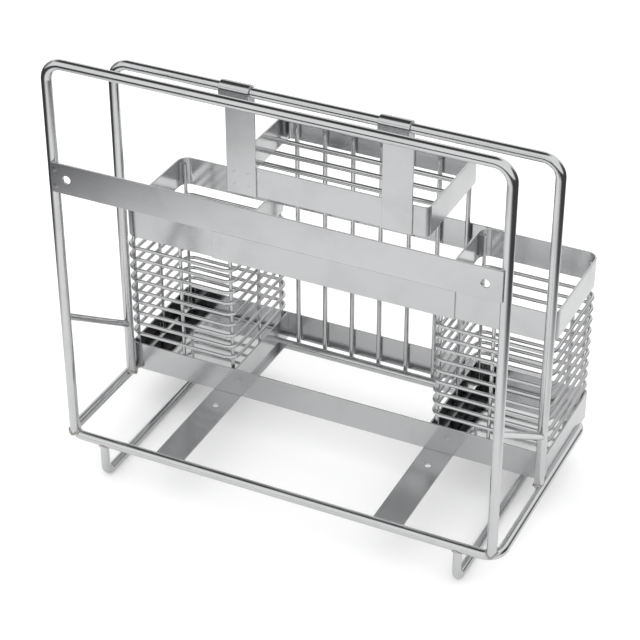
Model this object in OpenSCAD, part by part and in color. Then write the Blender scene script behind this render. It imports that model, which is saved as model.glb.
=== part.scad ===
// Wire kitchen rack for chopping boards, knives and cutlery.
// Origin: centre of the footprint on the worktop. +X runs to the right along the
// front strip, +Y runs from the front hoop to the baskets, +Z is up.

/* [Overall] */
// Distance between the side wires of the base ring
ring_width = 370; // [330:1:420]
// Distance between the front and rear wires of the base ring
ring_depth = 189; // [170:1:210]
// Height of the base ring's wire above the worktop
ring_height = 34.5; // [30:0.5:45]
// Height of the front hoop above the base ring
front_hoop_rise = 330; // [300:1:360]
// Height of the rear hoop above the base ring
rear_hoop_rise = 288; // [270:1:300]
// Distance of the rear hoop behind the front hoop
hoop_gap = 94; // [70:1:96]

/* [Stock] */
// Diameter of the main wire
main_d = 8; // [6:0.5:9]
// Diameter of the runners' wire
runner_d = 7; // [6:0.5:8]
// Diameter of the side braces
brace_d = 6; // [5:0.5:7]
// Diameter of the back wires and the tray's slot wires
slot_d = 4; // [3:0.5:4.5]
// Diameter of the basket wires
basket_d = 3; // [2.5:0.5:3.5]
// Width of the flat bar
bar_w = 25; // [20:1:28]
// Thickness of the flat bar
bar_t = 1.5; // [1:0.1:2]

/* [Hoops] */
// Distance between the legs of the front hoop
front_leg_span = 360; // [320:1:366]
// Distance between the legs of the rear hoop
rear_leg_span = 364.4; // [330:1:370]
// Bend radius at the hoops' upper corners, on the wire's centreline
hoop_bend = 14; // [10:1:30]
// Bend radius at the base ring's corners
ring_bend = 13; // [10:1:25]

/* [Baskets] */
// Outer face of a basket's outer wall, from the middle of the rack
basket_out = 184.5; // [160:0.5:185]
// Outer face of a basket's inner wall, from the middle of the rack
basket_in = 86; // [84:1:100]
// Depth of a basket
basket_depth = 98; // [90:1:100]
// Front face of the baskets, behind the front hoop
basket_front = 100; // [100:1:106]
// Bottom edge of the rim bands above the base ring
rim_rise = 131; // [120:1:150]
// Bottom edge of the lower bands above the base ring
band_rise = 2.5; // [2:0.5:6]
// Corner radius of the rim bands
rim_bend = 10; // [8:1:14]
// Number of horizontal wires in each wall
basket_rows = 9; // [5:1:10]
// Distance from one horizontal wire to the next
row_pitch = 10.4; // [9:0.1:12]

/* [Knife tray] */
// Width of the tray
tray_w = 165.5; // [158:1:170]
// Bottom edge of the tray's band above the base ring
tray_rise = 196; // [180:1:205]
// Number of wires across the tray
tray_wires = 4; // [2:1:5]
// Number of upright wires behind the tray
back_wires_n = 7; // [3:2:7]
// Distance between the upright wires
back_pitch = 25; // [15:0.5:25]

/* [Hidden] */
$fn = 48;
steel = "#c9cbcd";
bright = "#dcdedf";

main_r = main_d / 2;
runner_r = runner_d / 2;
slot_r = slot_d / 2;
basket_r = basket_d / 2;
// Room between a part that lifts off and the frame
clear = 0.3;
// How far a resistance-welded wire sinks into its neighbour
weld_sink = 0.2;

// Places along Y
strip_y = -main_r - bar_t + weld_sink;
basket_back = basket_front + basket_depth;
depth_front = strip_y;
depth_back = basket_back + bar_t;
y_shift = -(depth_front + depth_back) / 2;
// Everything below is drawn with the front hoop at y = 0 and the ring at z = 0.
module placed() {
    translate([0, y_shift, ring_height]) children();
}

// Front strip
strip_rise = 226;
strip_len = front_leg_span - 2;
strip_hole_d = 6.5;
strip_hole_x = 166;
strip_hole_z = strip_rise + bar_w / 2;

// Floor straps
strap_x = basket_in + 8.5;
strap_top = band_rise;
strap_sink = 3.4;
strap_hole_d = 5;
strap_hole_y = 80;

// Runners and braces
runner_x = 153;
runner_bend = 8;
runner_low = runner_r - ring_height;
brace_front_z = 112;
brace_rear_z = 49;

// Tie strips
tie_half = basket_in + 18;

// Basket wires: the uprights stand inside the bands, the rows lie outside the uprights
upright_in = bar_t + basket_r - 0.1;
row_in = upright_in - basket_d + 0.7;
row_bend = rim_bend - row_in;
post_radius = rim_bend - upright_in;
post_in = rim_bend - post_radius * cos(45);
upright_low = band_rise + 5;
upright_high = rim_rise + bar_w - 5;

// Drip plates
plate_gap = upright_in + basket_r + clear;
plate_bend = post_radius - basket_r - clear;
plate_top = 9;
plate_skirt = strap_top + clear;
plate_rear_skirt = main_r + clear;
plate_rear_y = ring_depth - main_r - clear - 3.2;

// Back wires and knife tray
back_wire_y = basket_back - bar_t - slot_r + 0.1;
back_wire_low = -1;
back_wire_high = 215;
hook_y = hoop_gap + main_r + clear;
tray_front = hook_y + bar_t;
tray_back = back_wire_y + slot_r + clear + bar_t;
tray_x = -2.25;
tray_bend = 5.5;
tray_wire_rise = 203;
tray_wire_first = 118;
tray_wire_pitch = 20;
left_hook_x = -75.5;
right_hook_x = 55;
hook_lip = 9;

// A straight round wire from a to b
module rod(a, b, d) {
    v = b - a;
    len = norm(v);
    tilt = acos(v.z / len);
    turn = atan2(v.y, v.x);
    translate(a) rotate([0, tilt, turn]) cylinder(d = d, h = len);
}

// A quarter bend of round wire in the XY plane, centred on c, starting at angle a
module wire_bend(c, r, d, a) {
    translate(c) rotate([0, 0, a]) rotate_extrude(angle = 90) translate([r, 0]) circle(d = d);
}

// A closed rounded rectangle of round wire in the XY plane, by its centreline
module wire_loop(x0, x1, y0, y1, r, d) {
    rod([x0 + r, y0, 0], [x1 - r, y0, 0], d);
    rod([x0 + r, y1, 0], [x1 - r, y1, 0], d);
    rod([x0, y0 + r, 0], [x0, y1 - r, 0], d);
    rod([x1, y0 + r, 0], [x1, y1 - r, 0], d);
    wire_bend([x1 - r, y1 - r, 0], r, d, 0);
    wire_bend([x0 + r, y1 - r, 0], r, d, 90);
    wire_bend([x0 + r, y0 + r, 0], r, d, 180);
    wire_bend([x1 - r, y0 + r, 0], r, d, 270);
}

// An upside-down U of round wire in the XZ plane, from foot height z0
module hoop(span, top, r, d, z0) {
    half = span / 2;
    for (side = [-1, 1]) rod([side * half, 0, z0], [side * half, 0, top - r], d);
    rod([r - half, 0, top], [half - r, 0, top], d);
    rotate([90, 0, 0]) {
        wire_bend([half - r, top - r, 0], r, d, 0);
        wire_bend([r - half, top - r, 0], r, d, 90);
    }
}

// A quarter bend of flat bar standing on edge; r is the outer radius
module bar_bend(c, r, h, a) {
    translate(c) rotate([0, 0, a]) rotate_extrude(angle = 90)
        translate([r - bar_t, 0]) square([bar_t, h]);
}

// A closed rounded rectangle of flat bar on edge, by its outer faces
module bar_loop(x0, x1, y0, y1, r, z) {
    translate([x0 + r, y0, z]) cube([x1 - x0 - 2 * r, bar_t, bar_w]);
    translate([x0 + r, y1 - bar_t, z]) cube([x1 - x0 - 2 * r, bar_t, bar_w]);
    translate([x0, y0 + r, z]) cube([bar_t, y1 - y0 - 2 * r, bar_w]);
    translate([x1 - bar_t, y0 + r, z]) cube([bar_t, y1 - y0 - 2 * r, bar_w]);
    bar_bend([x1 - r, y1 - r, z], r, bar_w, 0);
    bar_bend([x0 + r, y1 - r, z], r, bar_w, 90);
    bar_bend([x0 + r, y0 + r, z], r, bar_w, 180);
    bar_bend([x1 - r, y0 + r, z], r, bar_w, 270);
}

// Corner points of a rounded rectangle
function rounded(x0, x1, y0, y1, r, n = 8) = [
    for (q = [0 : 3], i = [0 : n])
        let (a = 90 * (q + i / n),
             cx = (q == 0 || q == 3) ? x1 - r : x0 + r,
             cy = (q < 2) ? y1 - r : y0 + r)
        [cx + r * cos(a), cy + r * sin(a)]
];

// --- Frame -----------------------------------------------------------------

module base_ring() {
    color(steel) placed()
        wire_loop(-ring_width / 2, ring_width / 2, 0, ring_depth, ring_bend, main_d);
}

// One runner: down from the front wire, back along the worktop, up to the rear wire
module runner(side) {
    top = -main_r + 2.5;
    color(steel) placed() translate([side * runner_x, 0, 0]) {
        rod([0, 0, runner_low + runner_bend], [0, 0, top], runner_d);
        rod([0, ring_depth, runner_low + runner_bend], [0, ring_depth, top], runner_d);
        rod([0, runner_bend, runner_low], [0, ring_depth - runner_bend, runner_low], runner_d);
        rotate([90, 0, 90]) {
            wire_bend([runner_bend, runner_low + runner_bend, 0], runner_bend, runner_d, 180);
            wire_bend([ring_depth - runner_bend, runner_low + runner_bend, 0],
                      runner_bend, runner_d, 270);
        }
    }
}

module front_hoop() {
    color(steel) placed() hoop(front_leg_span, front_hoop_rise, hoop_bend, main_d, 1);
}

module rear_hoop() {
    color(steel) placed() translate([0, hoop_gap, 0])
        hoop(rear_leg_span, rear_hoop_rise, hoop_bend, main_d, 1);
}

module side_brace(side) {
    color(steel) placed()
        rod([side * front_leg_span / 2, 0, brace_front_z],
            [side * rear_leg_span / 2, hoop_gap, brace_rear_z], brace_d);
}

module front_strip() {
    color(bright) placed() difference() {
        translate([-strip_len / 2, strip_y, strip_rise]) cube([strip_len, bar_t, bar_w]);
        for (side = [-1, 1])
            translate([side * strip_hole_x, strip_y - 1, strip_hole_z])
                rotate([-90, 0, 0]) cylinder(d = strip_hole_d, h = bar_t + 2);
    }
}

module floor_strap(side) {
    color(bright) placed() difference() {
        translate([side * strap_x - bar_w / 2, strap_sink, strap_top - bar_t])
            cube([bar_w, ring_depth - 2 * strap_sink, bar_t]);
        translate([side * strap_x, strap_hole_y, strap_top - bar_t - 1])
            cylinder(d = strap_hole_d, h = bar_t + 2);
    }
}

module lower_band() {
    color(bright) placed()
        bar_loop(-basket_out, basket_out, basket_front, basket_back, 4, band_rise);
}

module inner_band(side) {
    inside = side > 0 ? basket_in : -basket_in - bar_t;
    color(bright) placed() translate([inside, basket_front + bar_t, band_rise])
        cube([bar_t, basket_depth - 2 * bar_t, bar_w]);
}

module centre_tie_strip() {
    color(bright) placed() translate([-tie_half, basket_front - bar_t, rim_rise])
        cube([2 * tie_half, bar_t, bar_w]);
}

module rear_tie_strip() {
    color(bright) placed() translate([-tie_half, basket_back, rim_rise])
        cube([2 * tie_half, bar_t, bar_w]);
}

// Upright wires behind the tray, each welded to the ring and the lower band
module back_wires() {
    middle = (back_wires_n - 1) / 2;
    color(steel) placed() for (i = [-middle : middle])
        rod([i * back_pitch, back_wire_y, back_wire_low],
            [i * back_pitch, back_wire_y, back_wire_high], slot_d);
}

// --- Baskets (drawn for the right-hand side, mirrored for the left) ----------

module on_side(side) {
    mirror([side < 0 ? 1 : 0, 0, 0]) children();
}

module basket_rim(side) {
    color(bright) placed() on_side(side)
        bar_loop(basket_in, basket_out, basket_front, basket_back, rim_bend, rim_rise);
}

// Straight stretches of the rows on a wall that runs along X
module wall_along_x(row_y) {
    for (row = [1 : basket_rows])
        rod([basket_in + rim_bend, row_y, rim_rise - row * row_pitch],
            [basket_out - rim_bend, row_y, rim_rise - row * row_pitch], basket_d);
}

// Straight stretches of the rows on a wall that runs along Y
module wall_along_y(row_x, upright_x) {
    for (row = [1 : basket_rows])
        rod([row_x, basket_front + rim_bend, rim_rise - row * row_pitch],
            [row_x, basket_back - rim_bend, rim_rise - row * row_pitch], basket_d);
    rod([upright_x, (basket_front + basket_back) / 2, upright_low],
        [upright_x, (basket_front + basket_back) / 2, upright_high], basket_d);
}

module basket_front_grille(side) {
    color(steel) placed() on_side(side) {
        wall_along_x(basket_front + row_in);
        rod([(basket_in + basket_out) / 2, basket_front + upright_in, upright_low],
            [(basket_in + basket_out) / 2, basket_front + upright_in, upright_high], basket_d);
    }
}

// The back wall has rows alone; its corner posts carry them.
module basket_back_grille(side) {
    color(steel) placed() on_side(side)
        wall_along_x(basket_back - row_in);
}

module basket_outer_grille(side) {
    color(steel) placed() on_side(side)
        wall_along_y(basket_out - row_in, basket_out - upright_in);
}

module basket_inner_grille(side) {
    color(steel) placed() on_side(side)
        wall_along_y(basket_in + row_in, basket_in + upright_in);
}

// Four corners: a post and the bent stretch of every row
module basket_corner_wires(side) {
    color(steel) placed() on_side(side) for (quarter = [0 : 3]) {
        a = 90 * quarter;
        cx = (quarter == 0 || quarter == 3) ? basket_out - rim_bend : basket_in + rim_bend;
        cy = (quarter < 2) ? basket_back - rim_bend : basket_front + rim_bend;
        px = cx + post_radius * cos(a + 45);
        py = cy + post_radius * sin(a + 45);
        rod([px, py, upright_low], [px, py, upright_high], basket_d);
        for (row = [1 : basket_rows])
            wire_bend([cx, cy, rim_rise - row * row_pitch], row_bend, basket_d, a);
    }
}

// A floor sheet with turned-down edges; the rear edge is shorter, to sit on the ring
module drip_plate(side) {
    x0 = basket_in + plate_gap;
    x1 = basket_out - plate_gap;
    y0 = basket_front + plate_gap;
    y1 = basket_back - plate_gap;
    wall = plate_top - bar_t;
    color(bright) placed() on_side(side) difference() {
        translate([0, 0, plate_skirt]) linear_extrude(plate_top - plate_skirt)
            polygon(rounded(x0, x1, y0, y1, plate_bend));
        translate([x0 + bar_t, y0 + bar_t, plate_skirt - 1])
            cube([x1 - x0 - 2 * bar_t, y1 - y0 - 2 * bar_t, wall - plate_skirt + 1]);
        translate([x0 - 1, plate_rear_y, plate_skirt - 1])
            cube([x1 - x0 + 2, y1 - plate_rear_y + 1, plate_rear_skirt - plate_skirt + 1]);
    }
}

// --- Knife tray ---------------------------------------------------------------

module tray_band() {
    color(bright) placed()
        bar_loop(tray_x - tray_w / 2, tray_x + tray_w / 2, tray_front, tray_back,
                 tray_bend, tray_rise);
}

module tray_slot_wires() {
    half = tray_w / 2 - bar_t + weld_sink;
    color(steel) placed() for (i = [0 : tray_wires - 1])
        rod([tray_x - half, tray_wire_first + i * tray_wire_pitch, tray_wire_rise],
            [tray_x + half, tray_wire_first + i * tray_wire_pitch, tray_wire_rise], slot_d);
}

// A flat strap that rises from the tray's band and hooks over the rear hoop
module hook_strap(x) {
    r = main_r + clear + bar_t;
    color(bright) placed() translate([x - bar_w / 2, hoop_gap, 0]) {
        translate([0, r - bar_t, tray_rise])
            cube([bar_w, bar_t, rear_hoop_rise - tray_rise]);
        translate([0, 0, rear_hoop_rise]) rotate([90, 0, 90])
            rotate_extrude_half(r);
        translate([0, -r, rear_hoop_rise - hook_lip]) cube([bar_w, bar_t, hook_lip]);
    }
}

// Half a turn of flat bar, bar_w wide along Z
module rotate_extrude_half(r) {
    rotate_extrude(angle = 180) translate([r - bar_t, 0]) square([bar_t, bar_w]);
}

base_ring();
runner(-1);  // left_runner
runner(1);  // right_runner
front_hoop();
rear_hoop();
side_brace(-1);  // left_side_brace
side_brace(1);  // right_side_brace
front_strip();
floor_strap(-1);  // left_floor_strap
floor_strap(1);  // right_floor_strap
lower_band();
inner_band(-1);  // left_inner_band
inner_band(1);  // right_inner_band
centre_tie_strip();
rear_tie_strip();
back_wires();
basket_rim(-1);  // left_basket_rim
basket_front_grille(-1);  // left_basket_front_grille
basket_back_grille(-1);  // left_basket_back_grille
basket_outer_grille(-1);  // left_basket_outer_grille
basket_inner_grille(-1);  // left_basket_inner_grille
basket_corner_wires(-1);  // left_basket_corner_wires
basket_rim(1);  // right_basket_rim
basket_front_grille(1);  // right_basket_front_grille
basket_back_grille(1);  // right_basket_back_grille
basket_outer_grille(1);  // right_basket_outer_grille
basket_inner_grille(1);  // right_basket_inner_grille
basket_corner_wires(1);  // right_basket_corner_wires
drip_plate(-1);  // left_drip_plate
drip_plate(1);  // right_drip_plate
tray_band();
tray_slot_wires();
hook_strap(left_hook_x);  // left_hook_strap
hook_strap(right_hook_x);  // right_hook_strap
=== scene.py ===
"""A kitchen rack for chopping boards, knives and cutlery, bent from steel wire and flat bar.

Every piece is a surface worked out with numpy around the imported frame: a round or
flat profile carried along a bent path, or rings that shrink across a sheet. Sizes
are in metres, +X runs to the right, +Y from the front hoop to the baskets, +Z up.
"""

import math

import bmesh
import bpy
import numpy as np
from bpy.props import FloatProperty, FloatVectorProperty, PointerProperty
from mathutils import Matrix, Vector


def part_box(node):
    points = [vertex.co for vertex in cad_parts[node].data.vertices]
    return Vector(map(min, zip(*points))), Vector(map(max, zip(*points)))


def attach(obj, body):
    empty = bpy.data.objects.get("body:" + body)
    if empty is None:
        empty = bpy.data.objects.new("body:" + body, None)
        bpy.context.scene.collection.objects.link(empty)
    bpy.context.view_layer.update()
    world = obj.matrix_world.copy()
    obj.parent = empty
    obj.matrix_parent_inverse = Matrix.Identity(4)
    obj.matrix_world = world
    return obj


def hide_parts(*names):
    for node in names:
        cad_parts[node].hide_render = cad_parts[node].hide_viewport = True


bl_info = {
    "name": "Kitchen Wire Rack",
    "version": (1, 0, 0),
    "blender": (4, 5, 0),
    "location": "3D View > Sidebar > Rack",
    "description": "Builds a steel rack with a hanging knife tray and two cutlery baskets",
    "category": "Object",
}

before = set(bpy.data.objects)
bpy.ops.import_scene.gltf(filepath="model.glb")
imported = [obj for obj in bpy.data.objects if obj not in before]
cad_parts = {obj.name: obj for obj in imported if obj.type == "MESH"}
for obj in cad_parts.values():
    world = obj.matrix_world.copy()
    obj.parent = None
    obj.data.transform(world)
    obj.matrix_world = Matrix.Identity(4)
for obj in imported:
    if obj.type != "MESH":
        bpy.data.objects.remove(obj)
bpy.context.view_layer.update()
BODY_FRAME = "frame"
BODY_TRAY = "knife_tray"
SIDES = {"left": -1, "right": 1}
X_AXIS = np.array([1.0, 0.0, 0.0])
Y_AXIS = np.array([0.0, 1.0, 0.0])
Z_AXIS = np.array([0.0, 0.0, 1.0])

# Rows of a basket, counted down from one pitch below its rim
ROW_COUNT = 9
ROW_PITCH = 0.0104
ROW_TOP = -ROW_PITCH
# Wires behind the knives and across the tray
BACK_WIRE_COUNT = 7
TRAY_WIRE_COUNT = 4
# How a basket's wires are sunk into each other, as lengths or shares of their radius
WELD_SINK = 0.0001
DIAGONAL = 0.7
NUGGET_OUT = 0.75
NUGGET_WIDTH = 1.02
# The floor sheets: outline corner, fold, notch over the ring and rounding of the edges
CLEARANCE = 0.0003
PLATE_CORNER = 0.0052
PLATE_FOLD = 0.0022
PLATE_NOTCH = 0.0035
PLATE_SLOPE = 0.008
PLATE_LONG_SIDE = 0.02
PLATE_SIDE_STEPS = 13
PLATE_EDGE = 0.0002
# The hooks' lip, and a share that keeps their two bends from meeting
HOOK_LIP = 0.009
HOOK_BEND_SHARE = 0.9999
# Shares that keep a slanted wire's ends and a bead's curve inside their neighbours
BRACE_FIT = 0.97
SADDLE_REACH = 0.97
# Weld beads: ripple depth, ripples round a wire, and distance from its surface
BEAD_SWELL = 0.14
LEG_RIPPLES = 14
RUNNER_RIPPLES = 12
BEAD_OUT = 0.0003
BEAD_LIFT = 0.0002
# Spot-weld marks: depth, then radius and places for each kind of joint
MARK_DEPTH = 0.00007
TIE_MARK = 0.0022
TIE_MARK_Z = (-0.006, 0.006)
STRIP_MARK = 0.002
STRIP_MARK_Z = (-0.007, 0.007)
STRIP_MARK_INSET = 0.003
HOOK_MARK = 0.0021
HOOK_MARK_X = (-0.0065, 0.0065)
HOOK_MARK_Z = (0.007, 0.018)
HOOK_MARK_INSET = 0.004
# Mesh tolerances, and how shading tells flats from edges
NEARLY_ZERO = 1e-12
ON_SEAM = 1e-7
MERGE_DISTANCE = 1e-6
NEARLY_ALONG = 0.9
SHARP_ANGLE = math.radians(34)
FLAT_WEIGHT = 100
# Share of a floor sheet's width that its painted reflection takes: a near-black band painted
# along its left side in place of the dark surroundings it mirrors
PAINTED_REFLECTION_SHARE = 0.27
# Sockets of the Mix node, whose names repeat between its data types
MIX_FACTOR, MIX_COLOUR_A, MIX_COLOUR_B, MIX_COLOUR = 0, 6, 7, 2
MIX_VALUE_A, MIX_VALUE_B, MIX_VALUE = 2, 3, 0

CAMERA_AZIMUTH = 25.08
CAMERA_ELEVATION = 33.02
CAMERA_ROLL = 0.29
CAMERA_DISTANCE = 1.586
CAMERA_LENS = 114.5
CAMERA_SHIFT = (-0.0297, -0.0023)
CAMERA_TARGET = (0.0097, -0.0024, 0.1422)
# Half the floor's side, and the reach over which its reflection turns dark
FLOOR_HALF = 8.0
TABLE_BRIGHT = 0.29
TABLE_DARK = 0.60
TABLE_STRETCH = (1.0, 0.45, 1.0)
# Shades in the room's reflections: direction, inner and outer cosine, and darkness
ROOM_SHADES = (
    ((-0.355, 0.28, 0.89), 0.93, 0.775, 0.95),
    ((0.90, 0.42, 0.05), 0.93, 0.74, 0.92),
    ((-0.98, 0.15, 0.05), 0.96, 0.80, 0.70),
)
# Brightness of the room in reflections and for all other rays
ROOM_BRIGHT = 1.15
ROOM_PLAIN = 1.25


class RackSizes(bpy.types.PropertyGroup):
    """Sizes that the frame's boxes don't give"""

    hoop_bend: FloatProperty(
        name="Hoop Bend", description="Bend radius at the hoops' upper corners",
        default=0.014, min=0.008, max=0.04, unit="LENGTH")
    ring_bend: FloatProperty(
        name="Ring Bend", description="Bend radius at the base ring's corners",
        default=0.013, min=0.008, max=0.04, unit="LENGTH")
    runner_bend: FloatProperty(
        name="Runner Bend", description="Bend radius at the runners' ends",
        default=0.008, min=0.006, max=0.015, unit="LENGTH")
    rim_bend: FloatProperty(
        name="Rim Bend", description="Outer corner radius of the basket rims",
        default=0.010, min=0.006, max=0.015, unit="LENGTH")
    band_bend: FloatProperty(
        name="Band Bend", description="Outer corner radius of the lower band",
        default=0.004, min=0.002, max=0.01, unit="LENGTH")
    tray_bend: FloatProperty(
        name="Tray Bend", description="Outer corner radius of the tray's band",
        default=0.0055, min=0.003, max=0.01, unit="LENGTH")
    bar_thickness: FloatProperty(
        name="Bar Thickness", description="Thickness of the flat bar and the floor sheets",
        default=0.0015, min=0.001, max=0.002, unit="LENGTH")
    bar_edge: FloatProperty(
        name="Bar Edge", description="Radius that rounds the flat bar's edges",
        default=0.0003, min=0.0001, max=0.0007, unit="LENGTH")
    wire_edge: FloatProperty(
        name="Wire Edge", description="Radius that rounds a wire's cut ends",
        default=0.0006, min=0.0002, max=0.001, unit="LENGTH")
    basket_wire: FloatProperty(
        name="Basket Wire", description="Diameter of the basket wires",
        default=0.003, min=0.0025, max=0.0035, unit="LENGTH")
    strip_hole: FloatProperty(
        name="Strip Hole", description="Diameter of the holes in the front strip",
        default=0.0065, min=0.004, max=0.008, unit="LENGTH")
    strip_hole_x: FloatProperty(
        name="Strip Hole Place", description="Distance of each strip hole from the middle",
        default=0.166, min=0.12, max=0.17, unit="LENGTH")
    strap_hole: FloatProperty(
        name="Strap Hole", description="Diameter of the holes in the floor straps",
        default=0.005, min=0.003, max=0.008, unit="LENGTH")
    strap_hole_y: FloatProperty(
        name="Strap Hole Place", description="Distance of each strap hole behind the front hoop",
        default=0.080, min=0.03, max=0.095, unit="LENGTH")
    weld: FloatProperty(
        name="Weld Bead", description="Radius of the bead round a welded wire",
        default=0.0009, min=0.0004, max=0.0015, unit="LENGTH")


class RackFinish(bpy.types.PropertyGroup):
    """Colours and polish of the steel"""

    wire_colour: FloatVectorProperty(
        name="Wire Colour", description="Reflected colour of the drawn wire",
        default=(0.56, 0.565, 0.57), size=3, min=0, max=1, subtype="COLOR")
    bar_colour: FloatVectorProperty(
        name="Bar Colour", description="Reflected colour of the flat bar",
        default=(0.525, 0.53, 0.535), size=3, min=0, max=1, subtype="COLOR")
    sheet_colour: FloatVectorProperty(
        name="Sheet Colour", description="Reflected colour of the floor sheets",
        default=(0.80, 0.805, 0.81), size=3, min=0, max=1, subtype="COLOR")
    weld_colour: FloatVectorProperty(
        name="Weld Colour", description="Reflected colour of the weld metal",
        default=(0.44, 0.43, 0.42), size=3, min=0, max=1, subtype="COLOR")
    wire_polish: FloatProperty(
        name="Wire Roughness", description="Lowest roughness of the wire",
        default=0.12, min=0, max=1, subtype="FACTOR")
    bar_polish: FloatProperty(
        name="Bar Roughness", description="Lowest roughness of the flat bar",
        default=0.15, min=0, max=1, subtype="FACTOR")
    sheet_polish: FloatProperty(
        name="Sheet Roughness", description="Lowest roughness of the floor sheets",
        default=0.035, min=0, max=1, subtype="FACTOR")


# --- Curves and surfaces ------------------------------------------------------------


def unit(v):
    """Each vector divided by its own length."""
    return v / np.linalg.norm(v, axis=-1, keepdims=True)


def bent(corners, radius, closed=False, steps=12):
    """The path through corners with every one rounded. With u and w the directions in
    and inward at a corner, its points are start + r (u sin a + w (1 - cos a))."""
    points = np.asarray(corners, float)
    count = len(points)
    path = [] if closed else [points[:1]]
    for i in range(count) if closed else range(1, count - 1):
        into = unit(points[i] - points[i - 1])
        out = unit(points[(i + 1) % count] - points[i])
        turn = math.acos(np.clip(into @ out, -1, 1))
        inward = unit(out - into * (out @ into))
        start = points[i] - into * radius * math.tan(turn / 2)
        a = np.linspace(0, turn, steps + 1)[:, None]
        path.append(start + radius * (into * np.sin(a) + inward * (1 - np.cos(a))))
    if not closed:
        path.append(points[-1:])
    return np.concatenate(path)


def rectangle(x0, x1, y0, y1, z, radius, steps=12):
    """A closed rounded rectangle in a level plane."""
    corners = [(x0, y0, z), (x1, y0, z), (x1, y1, z), (x0, y1, z)]
    return bent(corners, radius, closed=True, steps=steps)


def round_profile(radius, sides):
    """A circle that shrinks: for an inset d, (r - d)(cos a, sin a)."""
    a = np.linspace(0, 2 * math.pi, sides, endpoint=False)
    circle = np.stack([np.cos(a), np.sin(a)], -1)
    return lambda inset: (radius - np.asarray(inset, float))[..., None, None] * circle


def bar_profile(thickness, width, edge, steps=3):
    """A rectangle whose rounded corners shrink: core corner + (e - 0.9 d)(cos a, sin a)."""
    a = np.linspace(0, math.pi / 2, steps + 1)
    a = (a + np.arange(4)[:, None] * math.pi / 2).ravel()
    turn = np.stack([np.cos(a), np.sin(a)], -1)
    signs = np.repeat([(1, 1), (-1, 1), (-1, -1), (1, -1)], steps + 1, axis=0)
    core = signs * (thickness / 2 - edge, width / 2 - edge)
    return lambda inset: core + (edge - 0.9 * np.asarray(inset, float))[..., None, None] * turn


def carried(path, profile, up, closed=False, edge=0.0, steps=3):
    """A profile carried along a path: point (i, j) = path i + x j side i + y j up, with
    side = tangent x up. At an open end the profile shrinks by e (1 - sin a) at depth
    e (1 - cos a), which rounds the cut."""
    inset = np.zeros(len(path))
    if not closed and edge:
        a = np.linspace(0, math.pi / 2, steps + 1)
        depth = (edge * (1 - np.cos(a)))[:, None]
        first = path[0] + depth * unit(path[1] - path[0])
        last = path[-1] + depth[::-1] * unit(path[-2] - path[-1])
        path = np.concatenate([first, path[1:-1], last])
        shrink = edge * (1 - np.sin(a))
        inset = np.concatenate([shrink, np.zeros(len(path) - 2 * len(a)), shrink[::-1]])
    ahead = unit(np.roll(path, -1, 0) - path)
    behind = np.roll(ahead, 1, 0)
    if not closed:
        behind[0] = ahead[0]
        ahead[-1] = behind[-1]
    side = unit(np.cross(unit(ahead + behind), up))
    flat = np.broadcast_to(profile(inset), (len(path),) + profile(inset).shape[-2:])
    return path[:, None] + flat[..., :1] * side[:, None] + flat[..., 1:] * np.asarray(up)


def skin(grid, closed=False):
    """Faces between neighbouring points of a grid whose rings are closed. An open grid
    gets a flat face at each end, and the whole is turned outwards by its volume."""
    rows, columns = grid.shape[:2]
    i = np.arange(rows if closed else rows - 1)[:, None]
    j = np.arange(columns)
    here, there = i * columns, (i + 1) % rows * columns
    after = (j + 1) % columns
    quads = np.stack([here + j, there + j, there + after, here + after], -1).reshape(-1, 4)
    points = grid.reshape(-1, 3)
    p = points[quads] - points.mean(0)
    volume = np.einsum("ij,ij->i", p[:, 0], np.cross(p[:, 1], p[:, 2])).sum()
    volume += np.einsum("ij,ij->i", p[:, 0], np.cross(p[:, 2], p[:, 3])).sum()
    faces = quads.tolist()
    if not closed:
        faces += [list(range(columns)), list(range((rows - 1) * columns, rows * columns))[::-1]]
    if volume < 0:
        faces = [face[::-1] for face in faces]
    return points, faces


def across(direction):
    """A direction square to the given one."""
    helper = X_AXIS if abs(direction[0]) < NEARLY_ALONG else Y_AXIS
    return unit(np.cross(direction, helper))


def wire(path, radius, up=None, closed=False, edge=0.0, sides=24):
    """A round wire along a path that lies in a plane square to up."""
    if up is None:
        up = across(unit(path[-1] - path[0]))
    return skin(carried(path, round_profile(radius, sides), up, closed, edge), closed)


def bar(path, thickness, width, up, closed=False, edge=0.0003):
    """A flat bar along a path, its width along up and its thickness across."""
    return skin(carried(path, bar_profile(thickness, width, edge), up, closed, edge), closed)


def bead(path, radius, ripple, up, closed=True):
    """A weld bead: a round profile whose radius is r (1 + 0.14 sin of the ripple)."""
    count = len(path)
    swell = 1 + BEAD_SWELL * np.sin(np.linspace(0, 2 * math.pi * ripple, count, endpoint=False))
    ring = carried(path, round_profile(radius, 10), up, closed)
    return skin(path[:, None] + (ring - path[:, None]) * swell[:, None, None], closed)


def lens(centre, normal, radius, height, sides=20, rings=4):
    """A shallow round mark: rings of radius r cos a raised by h sin a on both sides."""
    a = np.linspace(-math.pi / 2, math.pi / 2, 2 * rings)[1:-1]
    turn = np.linspace(0, 2 * math.pi, sides, endpoint=False)
    first = across(normal)
    second = np.cross(normal, first)
    spoke = np.cos(turn)[:, None] * first + np.sin(turn)[:, None] * second
    grid = centre + radius * np.cos(a)[:, None, None] * spoke + (
        height * np.sin(a)[:, None, None] * np.asarray(normal))
    return skin(grid)


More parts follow.
